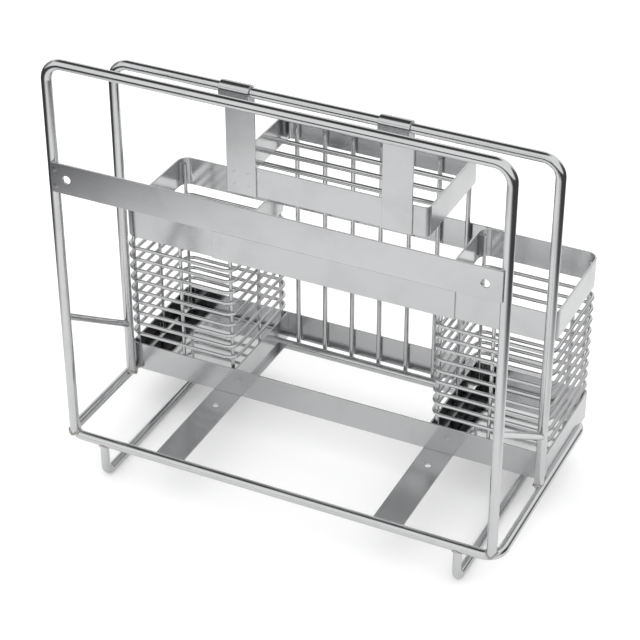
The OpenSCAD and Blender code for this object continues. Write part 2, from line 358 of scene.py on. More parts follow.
def holed_plate(low, high, hole, radius, thickness, edge, seam=None, steps=96):
    """A flat plate with one hole, in its own plane from z 0 to its thickness. At angle a
    its rings lie on the hole's circle or where the ray at a meets the rectangle, and
    each ring is inset by e (1 - sin b) at depth e (1 - cos b) to round the edges. No
    edge is rounded along x = seam, where two plates join."""
    low, high, hole = (np.asarray(v, float) for v in (low, high, hole))
    corners = np.array([(low[0], low[1]), (high[0], low[1]), (high[0], high[1]),
                        (low[0], high[1])]) - hole
    a = np.concatenate([np.linspace(-math.pi, math.pi, steps, endpoint=False),
                        np.arctan2(corners[:, 1], corners[:, 0])])
    a = np.unique(np.round(a, 9))
    ray = np.stack([np.cos(a), np.sin(a)], -1)
    safe = np.where(np.abs(ray) < NEARLY_ZERO, NEARLY_ZERO, ray)
    reach = np.where(ray > 0, high - hole, low - hole) / safe
    outline = hole + ray * np.abs(reach).min(-1, keepdims=True)
    b = np.linspace(0, math.pi / 2, 4)
    inset, depth = edge * (1 - np.sin(b)), edge * (1 - np.cos(b))
    keep_low = np.array([0.0 if seam == low[0] else 1.0, 1.0])
    keep_high = np.array([0.0 if seam == high[0] else 1.0, 1.0])

    def outer(d):
        return np.clip(outline, low + d * keep_low, high - d * keep_high)

    def inner(d):
        return hole + ray * (radius + d)

    rings = [(inner(d), z) for d, z in zip(inset[::-1], depth[::-1])]
    rings += [(outer(d), z) for d, z in zip(inset, depth)]
    rings += [(outer(d), thickness - z) for d, z in zip(inset[::-1], depth[::-1])]
    rings += [(inner(d), thickness - z) for d, z in zip(inset, depth)]
    grid = np.stack([np.column_stack([flat, np.full(len(flat), z)]) for flat, z in rings])
    points, faces = skin(grid, closed=True)
    if seam is not None:
        on_seam = np.abs(points[:, 0] - seam) < ON_SEAM
        faces = [face for face in faces if not on_seam[face].all()]
    return points, faces


def placed(part, origin, first, second):
    """A part's own x and y turned to first and second, its z square to both."""
    points, faces = part
    axes = np.stack([first, second, np.cross(first, second)])
    return np.asarray(origin) + points @ axes, faces


# --- Materials ----------------------------------------------------------------------


def node_group(name, inputs, outputs):
    """An empty shader node group with named sockets."""
    group = bpy.data.node_groups.new(name, "ShaderNodeTree")
    for label, kind, value in inputs:
        socket = group.interface.new_socket(label, in_out="INPUT", socket_type=kind)
        if value is not None:
            socket.default_value = value
    for label, kind in outputs:
        group.interface.new_socket(label, in_out="OUTPUT", socket_type=kind)
    return group, group.nodes.new("NodeGroupInput"), group.nodes.new("NodeGroupOutput")


def add(tree, kind, values=None, **settings):
    """A node with its properties and the values of its inputs set."""
    node = tree.nodes.new(kind)
    for key, value in settings.items():
        setattr(node, key, value)
    for socket, value in (values or {}).items():
        node.inputs[socket].default_value = value
    return node


def new_metal(name):
    """A fully metallic material, its node tree and its shader."""
    material = bpy.data.materials.new(name)
    material.use_nodes = True
    tree = material.node_tree
    shader = tree.nodes["Principled BSDF"]
    shader.inputs["Metallic"].default_value = 1.0
    return material, tree, shader


def drawn_lines_group():
    """Fine lines left by drawing or rolling, long along the stretched direction."""
    group, start, end = node_group(
        "Drawn Lines",
        [("Vector", "NodeSocketVector", None), ("Scale", "NodeSocketFloat", 900.0)],
        [("Height", "NodeSocketFloat"), ("Mask", "NodeSocketFloat")])
    fine = add(group, "ShaderNodeTexNoise", {"Detail": 3.0, "Roughness": 0.6})
    span = add(group, "ShaderNodeMapRange", {"From Min": 0.35, "From Max": 0.75},
               interpolation_type="SMOOTHSTEP")
    link = group.links.new
    link(start.outputs["Vector"], fine.inputs["Vector"])
    link(start.outputs["Scale"], fine.inputs["Scale"])
    link(fine.outputs["Fac"], span.inputs["Value"])
    link(fine.outputs["Fac"], end.inputs["Height"])
    link(span.outputs["Result"], end.inputs["Mask"])
    return group


def smudge_group():
    """Soft patches of handling and dried water, and a sparse scatter of fine specks."""
    group, start, end = node_group(
        "Handling Marks",
        [("Vector", "NodeSocketVector", None), ("Size", "NodeSocketFloat", 22.0)],
        [("Patches", "NodeSocketFloat"), ("Specks", "NodeSocketFloat")])
    broad = add(group, "ShaderNodeTexNoise",
                {"Detail": 5.0, "Roughness": 0.55, "Distortion": 0.6})
    patches = add(group, "ShaderNodeMapRange", {"From Min": 0.42, "From Max": 0.68},
                  interpolation_type="SMOOTHSTEP")
    dots = add(group, "ShaderNodeTexVoronoi", {"Scale": 420.0})
    specks = add(group, "ShaderNodeMapRange", {"From Min": 0.16, "From Max": 0.06})
    link = group.links.new
    link(start.outputs["Vector"], broad.inputs["Vector"])
    link(start.outputs["Size"], broad.inputs["Scale"])
    link(start.outputs["Vector"], dots.inputs["Vector"])
    link(broad.outputs["Fac"], patches.inputs["Value"])
    link(dots.outputs["Distance"], specks.inputs["Value"])
    link(patches.outputs["Result"], end.inputs["Patches"])
    link(specks.outputs["Result"], end.inputs["Specks"])
    return group


def shared_group(name, build):
    """The named group, built the first time that a material asks for it."""
    return bpy.data.node_groups.get(name) or build()


def steel(name, colour, polish, stretch, line_height=0.06, rough_span=0.10, shade=0.9, wave=0.0):
    """Polished steel: drawn lines and handling marks vary its colour, roughness and
    surface, with the lines stretched along one direction."""
    material, tree, shader = new_metal(name)
    place = add(tree, "ShaderNodeTexCoord")
    turn = add(tree, "ShaderNodeMapping", {"Scale": stretch})
    lines = add(tree, "ShaderNodeGroup",
                node_tree=shared_group("Drawn Lines", drawn_lines_group))
    marks = add(tree, "ShaderNodeGroup",
                node_tree=shared_group("Handling Marks", smudge_group))
    tone = add(tree, "ShaderNodeMix",
               {MIX_COLOUR_A: (*colour, 1.0),
                MIX_COLOUR_B: (*(shade * c for c in colour), 1.0)}, data_type="RGBA")
    amount = add(tree, "ShaderNodeMath", {1: 0.6}, operation="MULTIPLY")
    rough = add(tree, "ShaderNodeMapRange", {"To Min": polish, "To Max": polish + rough_span})
    both = add(tree, "ShaderNodeMath", {1: 0.45}, operation="MULTIPLY_ADD")
    bump = add(tree, "ShaderNodeBump", {"Strength": line_height, "Distance": 0.0002})
    link = tree.links.new
    link(place.outputs["Object"], turn.inputs["Vector"])
    link(turn.outputs["Vector"], lines.inputs["Vector"])
    link(place.outputs["Object"], marks.inputs["Vector"])
    link(marks.outputs["Patches"], amount.inputs[0])
    link(amount.outputs["Value"], tone.inputs[MIX_FACTOR])
    link(tone.outputs[MIX_COLOUR], shader.inputs["Base Color"])
    link(lines.outputs["Mask"], both.inputs[0])
    link(amount.outputs["Value"], both.inputs[2])
    link(both.outputs["Value"], rough.inputs["Value"])
    link(rough.outputs["Result"], shader.inputs["Roughness"])
    link(lines.outputs["Height"], bump.inputs["Height"])
    link(bump.outputs["Normal"], shader.inputs["Normal"])
    if wave:
        swell = add(tree, "ShaderNodeTexNoise", {"Scale": 28.0, "Detail": 1.0})
        wide = add(tree, "ShaderNodeBump", {"Strength": wave, "Distance": 0.002})
        link(place.outputs["Object"], swell.inputs["Vector"])
        link(swell.outputs["Fac"], wide.inputs["Height"])
        link(wide.outputs["Normal"], bump.inputs["Normal"])
    return material


def weld_metal(finish):
    """Cast-looking weld metal with a faint straw and blue heat tint, made once."""
    name = "weld_metal"
    if name in bpy.data.materials:
        return bpy.data.materials[name]
    material, tree, shader = new_metal(name)
    place = add(tree, "ShaderNodeTexCoord")
    marks = add(tree, "ShaderNodeGroup",
                node_tree=shared_group("Handling Marks", smudge_group))
    marks.inputs["Size"].default_value = 260.0
    tint = add(tree, "ShaderNodeValToRGB")
    grey = finish.weld_colour
    tint.color_ramp.elements[0].color = (*grey, 1.0)
    tint.color_ramp.elements[1].color = (grey[0] * 0.7, grey[1] * 0.68, grey[2] * 0.72, 1.0)
    straw = tint.color_ramp.elements.new(0.5)
    straw.color = (grey[0] * 1.05, grey[1] * 0.98, grey[2] * 0.86, 1.0)
    rough = add(tree, "ShaderNodeMapRange", {"To Min": 0.24, "To Max": 0.46})
    bump = add(tree, "ShaderNodeBump", {"Strength": 0.35, "Distance": 0.0003})
    link = tree.links.new
    link(place.outputs["Object"], marks.inputs["Vector"])
    link(marks.outputs["Patches"], tint.inputs["Fac"])
    link(tint.outputs["Color"], shader.inputs["Base Color"])
    link(marks.outputs["Patches"], rough.inputs["Value"])
    link(rough.outputs["Result"], shader.inputs["Roughness"])
    link(marks.outputs["Patches"], bump.inputs["Height"])
    link(bump.outputs["Normal"], shader.inputs["Normal"])
    return material


def wire_steel(finish, along):
    """Drawn wire, its lines running along X, Y or Z."""
    name = "wire_along_" + along
    stretch = {"x": (0.04, 1, 1), "y": (1, 0.04, 1), "z": (1, 1, 0.04)}[along]
    return bpy.data.materials.get(name) or steel(
        name, finish.wire_colour, finish.wire_polish, stretch, rough_span=0.09)


def bar_steel(finish, along):
    """Rolled flat bar, its lines running along X, Y or Z."""
    name = "bar_along_" + along
    stretch = {"x": (0.03, 1, 1), "y": (1, 0.03, 1), "z": (1, 1, 0.03)}[along]
    return bpy.data.materials.get(name) or steel(
        name, finish.bar_colour, finish.bar_polish, stretch, line_height=0.05,
        rough_span=0.08, wave=0.03)


def painted_reflection_group():
    """A mask along X for a painted reflection: 1 up to a wavering edge, 0 past it."""
    group, start, end = node_group(
        "Painted Reflection Side",
        [("Vector", "NodeSocketVector", None), ("Edge", "NodeSocketFloat", 0.0),
         ("Softness", "NodeSocketFloat", 0.004), ("Waver", "NodeSocketFloat", 0.012)],
        [("Mask", "NodeSocketFloat")])
    parts = add(group, "ShaderNodeSeparateXYZ")
    noise = add(group, "ShaderNodeTexNoise", {"Scale": 34.0, "Detail": 2.0})
    wander = add(group, "ShaderNodeMath", operation="MULTIPLY_ADD")
    past = add(group, "ShaderNodeMath", operation="SUBTRACT")
    share = add(group, "ShaderNodeMath", operation="DIVIDE", use_clamp=True)
    flip = add(group, "ShaderNodeMath", {0: 1.0}, operation="SUBTRACT", use_clamp=True)
    link = group.links.new
    link(start.outputs["Vector"], parts.inputs["Vector"])
    link(start.outputs["Vector"], noise.inputs["Vector"])
    link(noise.outputs["Fac"], wander.inputs[0])
    link(start.outputs["Waver"], wander.inputs[1])
    link(parts.outputs["X"], wander.inputs[2])
    link(wander.outputs["Value"], past.inputs[0])
    link(start.outputs["Edge"], past.inputs[1])
    link(past.outputs["Value"], share.inputs[0])
    link(start.outputs["Softness"], share.inputs[1])
    link(share.outputs["Value"], flip.inputs[1])
    link(flip.outputs["Value"], end.inputs["Mask"])
    return group


def sheet_steel(finish, side):
    """Bright sheet, a little wavy, with a painted reflection: a near-black band painted along its
    left side in place of the dark surroundings that it mirrors.
    """
    name = side + "_floor_sheet"
    if name in bpy.data.materials:
        return bpy.data.materials[name]
    material = steel(name, finish.sheet_colour, finish.sheet_polish, (1, 0.05, 1),
                     line_height=0.03, rough_span=0.05, wave=0.05)
    tree = material.node_tree
    shader = tree.nodes["Principled BSDF"]
    tone = shader.inputs["Base Color"].links[0].from_socket
    place = add(tree, "ShaderNodeTexCoord")
    band = add(tree, "ShaderNodeGroup", node_tree=shared_group("Painted Reflection Side", painted_reflection_group))
    low, high, _ = spans(side + "_drip_plate")
    band.inputs["Edge"].default_value = low[0] + PAINTED_REFLECTION_SHARE * (high[0] - low[0])
    # Painted reflection: this near-black colour stands in for the dark surroundings mirrored in
    # the sheet's left side
    mix = add(tree, "ShaderNodeMix", {MIX_COLOUR_B: (0.02, 0.02, 0.022, 1)}, data_type="RGBA")
    link = tree.links.new
    link(place.outputs["Object"], band.inputs["Vector"])
    link(band.outputs["Mask"], mix.inputs[MIX_FACTOR])
    link(tone, mix.inputs[MIX_COLOUR_A])
    link(mix.outputs[MIX_COLOUR], shader.inputs["Base Color"])
    return material


# --- Pieces -------------------------------------------------------------------------


def make_piece(name, parts, body, materials, replaces=(), seam=False):
    """One object from several closed parts; materials are given per part or once."""
    if not isinstance(materials, list):
        materials = [materials] * len(parts)
    kinds = list(dict.fromkeys(materials))
    points, faces, index = [], [], []
    start = 0
    for (part_points, part_faces), material in zip(parts, materials):
        points.append(part_points)
        faces += [[start + v for v in face] for face in part_faces]
        index += [kinds.index(material)] * len(part_faces)
        start += len(part_points)
    mesh = bpy.data.meshes.new(name)
    mesh.from_pydata(np.concatenate(points).tolist(), [], faces)
    mesh.polygons.foreach_set("material_index", index)
    mesh.polygons.foreach_set("use_smooth", np.ones(len(faces), bool))
    for material in kinds:
        mesh.materials.append(material)
    piece = bpy.data.objects.new(name, mesh)
    bpy.context.scene.collection.objects.link(piece)
    if seam:
        join_seam(mesh)
    mesh.set_sharp_from_angle(angle=SHARP_ANGLE)
    mesh.validate()
    flats = piece.modifiers.new("true_flats", "WEIGHTED_NORMAL")
    flats.weight = FLAT_WEIGHT
    flats.keep_sharp = True
    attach(piece, body)
    if replaces:
        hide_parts(*replaces)
    return piece


def join_seam(mesh):
    """Merges the points that two halves share."""
    work = bmesh.new()
    work.from_mesh(mesh)
    bmesh.ops.remove_doubles(work, verts=work.verts, dist=MERGE_DISTANCE)
    work.to_mesh(mesh)
    work.free()


def spans(node):
    """A node's lowest corner, highest corner and middle, as arrays."""
    low, high = (np.array(corner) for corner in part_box(node))
    return low, high, (low + high) / 2


def main_radius():
    """Half the height of the base ring, which is one wire."""
    low, high, _ = spans("base_ring")
    return (high[2] - low[2]) / 2


def saddle(centre, radius, lying, along, lift=0.0, steps=48):
    """The curve where an upright wire stands on a lying one: at angle a it is r cos a
    along the lying wire, r sin a across it, at height the root of R^2 - (r sin a)^2."""
    a = np.linspace(0, 2 * math.pi, steps, endpoint=False)
    outer = min(radius, SADDLE_REACH * lying)
    height = np.sqrt(lying ** 2 - (outer * np.sin(a)) ** 2) * (1 if lift >= 0 else -1)
    other = np.cross(Z_AXIS, along)
    return centre + radius * (np.cos(a)[:, None] * along + np.sin(a)[:, None] * other) + (
        height[:, None] * Z_AXIS)


def base_ring(sizes, finish):
    """The closed ring of main wire."""
    r = main_radius()
    low, high, _ = spans("base_ring")
    path = rectangle(low[0] + r, high[0] - r, low[1] + r, high[1] - r, low[2] + r,
                     sizes.ring_bend)
    make_piece("base_ring_wire", [wire(path, r, Z_AXIS, closed=True, sides=32)], BODY_FRAME,
               wire_steel(finish, "x"), ["base_ring"])


def runner(sizes, finish, side):
    """One runner: down, back along the worktop and up again."""
    node = side + "_runner"
    low, high, middle = spans(node)
    r = (high[0] - low[0]) / 2
    front, back, bottom = low[1] + r, high[1] - r, low[2] + r
    corners = [(middle[0], front, high[2]), (middle[0], front, bottom),
               (middle[0], back, bottom), (middle[0], back, high[2])]
    path = bent(corners, sizes.runner_bend)
    make_piece(node + "_wire", [wire(path, r, X_AXIS, sides=28)], BODY_FRAME,
               wire_steel(finish, "y"), [node])


def hoop(sizes, finish, node):
    """One upside-down U."""
    r = main_radius()
    low, high, middle = spans(node)
    left, right, top = low[0] + r, high[0] - r, high[2] - r
    corners = [(left, middle[1], low[2]), (left, middle[1], top),
               (right, middle[1], top), (right, middle[1], low[2])]
    path = bent(corners, sizes.hoop_bend, steps=18)
    make_piece(node + "_wire", [wire(path, r, Y_AXIS, sides=32)], BODY_FRAME,
               wire_steel(finish, "z"), [node])


def hoop_legs(node):
    """The two leg axes of a hoop: their X places and their Y."""
    r = main_radius()
    low, high, middle = spans(node)
    return {"left": low[0] + r, "right": high[0] - r}, middle[1]


def side_brace(finish, side):
    """A straight wire from the front leg down to the rear leg."""
    node = side + "_side_brace"
    front_x, front_y = hoop_legs("front_hoop")
    rear_x, rear_y = hoop_legs("rear_hoop")
    low, high, _ = spans(node)
    run = rear_y - front_y
    r = brace_radius(node, run)
    # The box's height is the brace's drop plus its two slanting ends.
    slant = run / math.hypot(run, high[2] - low[2] - 2 * r)
    start = np.array([front_x[side], front_y, high[2] - r * slant])
    end = np.array([rear_x[side], rear_y, low[2] + r * slant])
    make_piece(node + "_wire", [wire(np.stack([start, end]), r, sides=28)], BODY_FRAME,
               wire_steel(finish, "y"), [node])


def brace_radius(node, run):
    """The brace's radius, from how far its box reaches past the legs' own distance."""
    low, high, _ = spans(node)
    drop = high[2] - low[2]
    slope = drop / math.hypot(run, drop)
    return (high[1] - low[1] - run) / 2 / slope * BRACE_FIT


def plain_bar(sizes, finish, node, along):
    """A straight flat bar on edge that fills its node's box along X (0) or Y (1)."""
    low, high, middle = spans(node)
    start, end = middle.copy(), middle.copy()
    start[along], end[along] = low[along], high[along]
    size = high - low
    part = bar(np.stack([start, end]), size[1 - along], size[2], Z_AXIS, edge=sizes.bar_edge)
    make_piece(node + "_bar", [part], BODY_FRAME,
               bar_steel(finish, "xy"[along]), [node])


def front_strip(sizes, finish):
    """The strip across the front hoop: two holed halves joined in the middle."""
    low, high, _ = spans("front_strip")
    width, thickness = high[2] - low[2], high[1] - low[1]
    parts = []
    for side in SIDES.values():
        near, far = sorted((0.0, side * high[0]))
        half = holed_plate((near, 0), (far, width), (side * sizes.strip_hole_x, width / 2),
                           sizes.strip_hole / 2, thickness, sizes.bar_edge, seam=0.0)
        parts.append(placed(half, (0, high[1], low[2]), X_AXIS, Z_AXIS))
    make_piece("front_strip_bar", parts, BODY_FRAME, bar_steel(finish, "x"),
               ["front_strip"], seam=True)


def floor_strap(sizes, finish, side):
    """A flat bar lying in the ring, with one hole."""
    node = side + "_floor_strap"
    low, high, middle = spans(node)
    front_y = hoop_legs("front_hoop")[1]
    plate = holed_plate((low[0], low[1]), (high[0], high[1]),
                        (middle[0], front_y + sizes.strap_hole_y), sizes.strap_hole / 2,
                        high[2] - low[2], sizes.bar_edge)
    make_piece(node + "_bar", [placed(plate, (0, 0, low[2]), X_AXIS, Y_AXIS)], BODY_FRAME,
               bar_steel(finish, "y"), [node])


def bar_loop(sizes, finish, node, bend, body):
    """A closed loop of flat bar on edge, its path half a thickness inside its box."""
    low, high, middle = spans(node)
    half = sizes.bar_thickness / 2
    path = rectangle(low[0] + half, high[0] - half, low[1] + half, high[1] - half,
                     middle[2], bend - half)
    part = bar(path, sizes.bar_thickness, high[2] - low[2], Z_AXIS, closed=True,
               edge=sizes.bar_edge)
    make_piece(node + "_bar", [part], body, bar_steel(finish, "x"), [node])


def basket_cage(sizes, finish, side):
    """The welded cage of one basket: rows bent all round it, with four corner posts and
    an upright in the middle of all walls but the back one, and a nugget where each row
    crosses one."""
    r = sizes.basket_wire / 2
    corner_low, corner_high, _ = spans(side + "_basket_corner_wires")
    rim_low, rim_high, rim_middle = spans(side + "_basket_rim")
    bend = sizes.rim_bend
    row_in = corner_low[:2] + r
    row_out = corner_high[:2] - r
    offset = row_in[0] - rim_low[0]
    heights = ROW_TOP + rim_low[2] - ROW_PITCH * np.arange(ROW_COUNT)
    parts, nuggets = [], []
    for z in heights:
        path = rectangle(row_in[0], row_out[0], row_in[1], row_out[1], z, bend - offset, steps=10)
        parts.append(wire(path, r, Z_AXIS, closed=True, sides=14))
    upright = sizes.bar_thickness + r - WELD_SINK
    reach = (bend - upright) * math.cos(math.pi / 4)
    posts = []
    for sx, x in ((-1, rim_low[0] + bend), (1, rim_high[0] - bend)):
        for sy, y in ((-1, rim_low[1] + bend), (1, rim_high[1] - bend)):
            posts.append((x + sx * reach, y + sy * reach, sx * DIAGONAL, sy * DIAGONAL))
    posts += [(rim_middle[0], rim_low[1] + upright, 0, -1),
              (rim_low[0] + upright, rim_middle[1], -1, 0),
              (rim_high[0] - upright, rim_middle[1], 1, 0)]
    for x, y, out_x, out_y in posts:
        path = np.array([(x, y, corner_low[2]), (x, y, corner_high[2])])
        parts.append(wire(path, r, edge=sizes.wire_edge, sides=14))
        for z in heights:
            centre = np.array([x + out_x * r * NUGGET_OUT, y + out_y * r * NUGGET_OUT, z])
            nuggets.append(lens(centre, Z_AXIS, r * NUGGET_WIDTH, r, sides=12, rings=4))
    cage_steel = wire_steel(finish, "z")
    materials = [cage_steel] * len(parts) + [weld_metal(finish)] * len(nuggets)
    walls = ["%s_basket_%s_grille" % (side, wall) for wall in ("front", "back", "outer", "inner")]
    make_piece(side + "_basket_cage", parts + nuggets, BODY_FRAME, materials,
               walls + [side + "_basket_corner_wires"])


def back_wires(sizes, finish):
    """The uprights behind the knives, evenly spaced across their node's box."""
    low, high, middle = spans("back_wires")
    r = (high[1] - low[1]) / 2
    parts = []
    for x in np.linspace(low[0] + r, high[0] - r, BACK_WIRE_COUNT):
        path = np.array([(x, middle[1], low[2]), (x, middle[1], high[2])])
        parts.append(wire(path, r, edge=sizes.wire_edge, sides=18))
    make_piece("back_upright_wires", parts, BODY_FRAME, wire_steel(finish, "z"),
               ["back_wires"])


def drip_plate(sizes, finish, side):
    """A loose floor sheet with its edges turned down. Its rings are the outline inset by
    d at height z: over the bend d = b (1 - sin a), z = top - b (1 - cos a), then down
    the skirt and back up inside, one sheet thickness further in."""
    node = side + "_drip_plate"
    low, high, _ = spans(node)
    sheet = sizes.bar_thickness
    ring_high = spans("base_ring")[1]
    rear = ring_high[1] - 2 * main_radius() - PLATE_NOTCH
    rear_bottom = ring_high[2] + CLEARANCE

    def ring(inset, z):
        path = rectangle(low[0] + inset, high[0] - inset, low[1] + inset, high[1] - inset, 0,
                         PLATE_CORNER - inset, steps=10)
        path = np.concatenate([
            np.linspace(p, q, PLATE_SIDE_STEPS)[:-1]
            if np.linalg.norm(q - p) > PLATE_LONG_SIDE else p[None]
            for p, q in zip(path, np.roll(path, -1, 0))])
        path[:, 2] = z if np.isscalar(z) else z(path[:, 1])
        return path

    def bottom(lift):
        def height(y):
            share = np.clip((y - rear) / PLATE_SLOPE + 1, 0, 1)
            return low[2] + (rear_bottom - low[2]) * share + lift
        return height

    a = np.linspace(0, math.pi / 2, 7)
    rows = [ring(PLATE_FOLD * (1 - math.sin(t)), high[2] - PLATE_FOLD * (1 - math.cos(t)))
            for t in a]
    rows += [ring(0, bottom(CLEARANCE)), ring(PLATE_EDGE, bottom(0)),
             ring(sheet - PLATE_EDGE, bottom(0)), ring(sheet, bottom(CLEARANCE))]
    inner = PLATE_FOLD - sheet
    rows += [ring(sheet + inner * (1 - math.sin(t)), high[2] - sheet - inner * (1 - math.cos(t)))
             for t in a[::-1]]
    make_piece(node + "_sheet", [skin(np.stack(rows))], node,
               sheet_steel(finish, side), [node])


def tray_slot_wires(finish):
    """The wires across the tray that part the knives."""
    low, high, middle = spans("tray_slot_wires")
    r = (high[2] - low[2]) / 2
    parts = []
    for y in np.linspace(low[1] + r, high[1] - r, TRAY_WIRE_COUNT):
        parts.append(wire(np.array([(low[0], y, middle[2]), (high[0], y, middle[2])]), r,
                          sides=18))
    make_piece("tray_cross_wires", parts, BODY_TRAY, wire_steel(finish, "x"),
               ["tray_slot_wires"])


def hook_strap(sizes, finish, side):
    """A strap that rises from the tray and bends over the rear hoop's wire."""
    node = side + "_hook_strap"
    low, high, middle = spans(node)
    half = sizes.bar_thickness / 2
    top, front, back = high[2] - half, low[1] + half, high[1] - half
    bend = (back - front) / 2
    lip = spans("rear_hoop")[1][2] - main_radius() - HOOK_LIP
    corners = [(middle[0], back, low[2]), (middle[0], back, top), (middle[0], front, top),
               (middle[0], front, lip)]
    path = bent(corners, bend * HOOK_BEND_SHARE, steps=16)
    part = bar(path, sizes.bar_thickness, high[0] - low[0], X_AXIS, edge=sizes.bar_edge)
    make_piece(node + "_bar", [part], BODY_TRAY, bar_steel(finish, "z"), [node])


def wire_welds(sizes, finish):
    """Beads where the legs and the runners meet the base ring."""
    r = main_radius()
    z = spans("base_ring")[2][2]
    parts = []
    for node, along in (("front_hoop", X_AXIS), ("rear_hoop", Y_AXIS)):
        places, y = hoop_legs(node)
        for x in places.values():
            path = saddle(np.array([x, y, z]), r + BEAD_OUT, r + BEAD_LIFT, along)
            parts.append(bead(path, sizes.weld, LEG_RIPPLES, Z_AXIS))
    for side in SIDES:
        low, high, middle = spans(side + "_runner")
        rr = (high[0] - low[0]) / 2
        for y in (low[1] + rr, high[1] - rr):
            path = saddle(np.array([middle[0], y, z]), rr + BEAD_OUT, r + BEAD_LIFT, X_AXIS,
                          lift=-1)
            parts.append(bead(path, sizes.weld, RUNNER_RIPPLES, Z_AXIS))
    make_piece("frame_weld_beads", parts, BODY_FRAME, weld_metal(finish))


def spot_welds(sizes, finish):
    """Shallow round marks where flat bar is spot-welded to flat bar or to wire."""
    frame_marks, tray_marks = [], []

    def mark(marks, x, y, z, radius):
        marks.append(lens(np.array([x, y, z]), Y_AXIS, radius, MARK_DEPTH))

    for tie, face in (("centre_tie_strip", 0), ("rear_tie_strip", 1)):
        tie_box = spans(tie)
        for side in SIDES:
            rim_low, rim_high, _ = spans(side + "_basket_rim")
            lap = (max(tie_box[0][0], rim_low[0]) + min(tie_box[1][0], rim_high[0])) / 2
            for dz in TIE_MARK_Z:
                mark(frame_marks, lap, tie_box[face][1], tie_box[2][2] + dz, TIE_MARK)
    low, high, middle = spans("front_strip")
    places, _ = hoop_legs("front_hoop")
    for x in places.values():
        inside = np.clip(x, low[0] + STRIP_MARK_INSET, high[0] - STRIP_MARK_INSET)
        for dz in STRIP_MARK_Z:
            mark(frame_marks, inside, low[1], middle[2] + dz, STRIP_MARK)
    low, high, _ = spans("tray_band")
    for side in SIDES:
        middle = spans(side + "_hook_strap")[2]
        for dx in HOOK_MARK_X:
            x = np.clip(middle[0] + dx, low[0] + HOOK_MARK_INSET, high[0] - HOOK_MARK_INSET)
            for dz in HOOK_MARK_Z:
                mark(tray_marks, x, low[1] - sizes.bar_thickness, low[2] + dz, HOOK_MARK)
    for name, parts, body in (("frame_spot_welds", frame_marks, BODY_FRAME),
                              ("tray_spot_welds", tray_marks, BODY_TRAY)):
        make_piece(name, parts, body, bar_steel(finish, "x"))


# --- Stage --------------------------------------------------------------------------


def camera():
    """The camera, aimed at its target from an azimuth and an elevation."""
    data = bpy.data.cameras.new("camera")
    data.lens = CAMERA_LENS
    data.shift_x, data.shift_y = CAMERA_SHIFT
    data.clip_start, data.clip_end = 0.01, 100
    view = bpy.data.objects.new("camera", data)
    bpy.context.scene.collection.objects.link(view)
    a, e = math.radians(CAMERA_AZIMUTH), math.radians(CAMERA_ELEVATION)
    back = Vector((math.sin(a) * math.cos(e), -math.cos(a) * math.cos(e), math.sin(e)))
    turn = (-back).to_track_quat("-Z", "Y").to_matrix()
    roll = Matrix.Rotation(math.radians(CAMERA_ROLL), 3, "Z")
    view.matrix_world = Matrix.Translation(Vector(CAMERA_TARGET) + back * CAMERA_DISTANCE) @ (
        turn @ roll).to_4x4()
    bpy.context.scene.camera = view


def floor():
    """A plain pale table top that falls away to a darker room in the steel's reflections."""
    side = FLOOR_HALF
    mesh = bpy.data.meshes.new("floor")
    mesh.from_pydata([(-side, -side, 0), (side, -side, 0), (side, side, 0), (-side, side, 0)],
                     [], [(0, 1, 2, 3)])
    plane = bpy.data.objects.new("floor", mesh)
    bpy.context.scene.collection.objects.link(plane)
    material = bpy.data.materials.new("pale_floor")
    material.use_nodes = True
    tree = material.node_tree
    shader = tree.nodes["Principled BSDF"]
    shader.inputs["Roughness"].default_value = 0.9
    shader.inputs["Specular IOR Level"].default_value = 0.0
    shader.inputs["Emission Color"].default_value = (1, 1, 1, 1)
    glow = add(tree, "ShaderNodeMapRange", {"To Min": 0.12, "To Max": 0.0})
    place = add(tree, "ShaderNodeTexCoord")
    squash = add(tree, "ShaderNodeVectorMath", {1: TABLE_STRETCH}, operation="MULTIPLY")
    reach = add(tree, "ShaderNodeVectorMath", operation="LENGTH")
    fall = add(tree, "ShaderNodeMapRange", {"From Min": TABLE_BRIGHT, "From Max": TABLE_DARK},
               interpolation_type="SMOOTHSTEP")
    rays = add(tree, "ShaderNodeLightPath")
    both = add(tree, "ShaderNodeMath", operation="MULTIPLY")
    tone = add(tree, "ShaderNodeMix",
               {MIX_COLOUR_A: (0.95, 0.95, 0.95, 1), MIX_COLOUR_B: (0.06, 0.06, 0.065, 1)},
               data_type="RGBA")
    link = tree.links.new
    link(place.outputs["Object"], squash.inputs[0])
    link(squash.outputs["Vector"], reach.inputs[0])
    link(reach.outputs["Value"], fall.inputs["Value"])
    link(fall.outputs["Result"], both.inputs[0])
    link(rays.outputs["Is Glossy Ray"], both.inputs[1])
    link(both.outputs["Value"], tone.inputs[MIX_FACTOR])
    link(rays.outputs["Is Glossy Ray"], glow.inputs["Value"])
    link(glow.outputs["Result"], shader.inputs["Emission Strength"])
    link(tone.outputs[MIX_COLOUR], shader.inputs["Base Color"])
    mesh.materials.append(material)


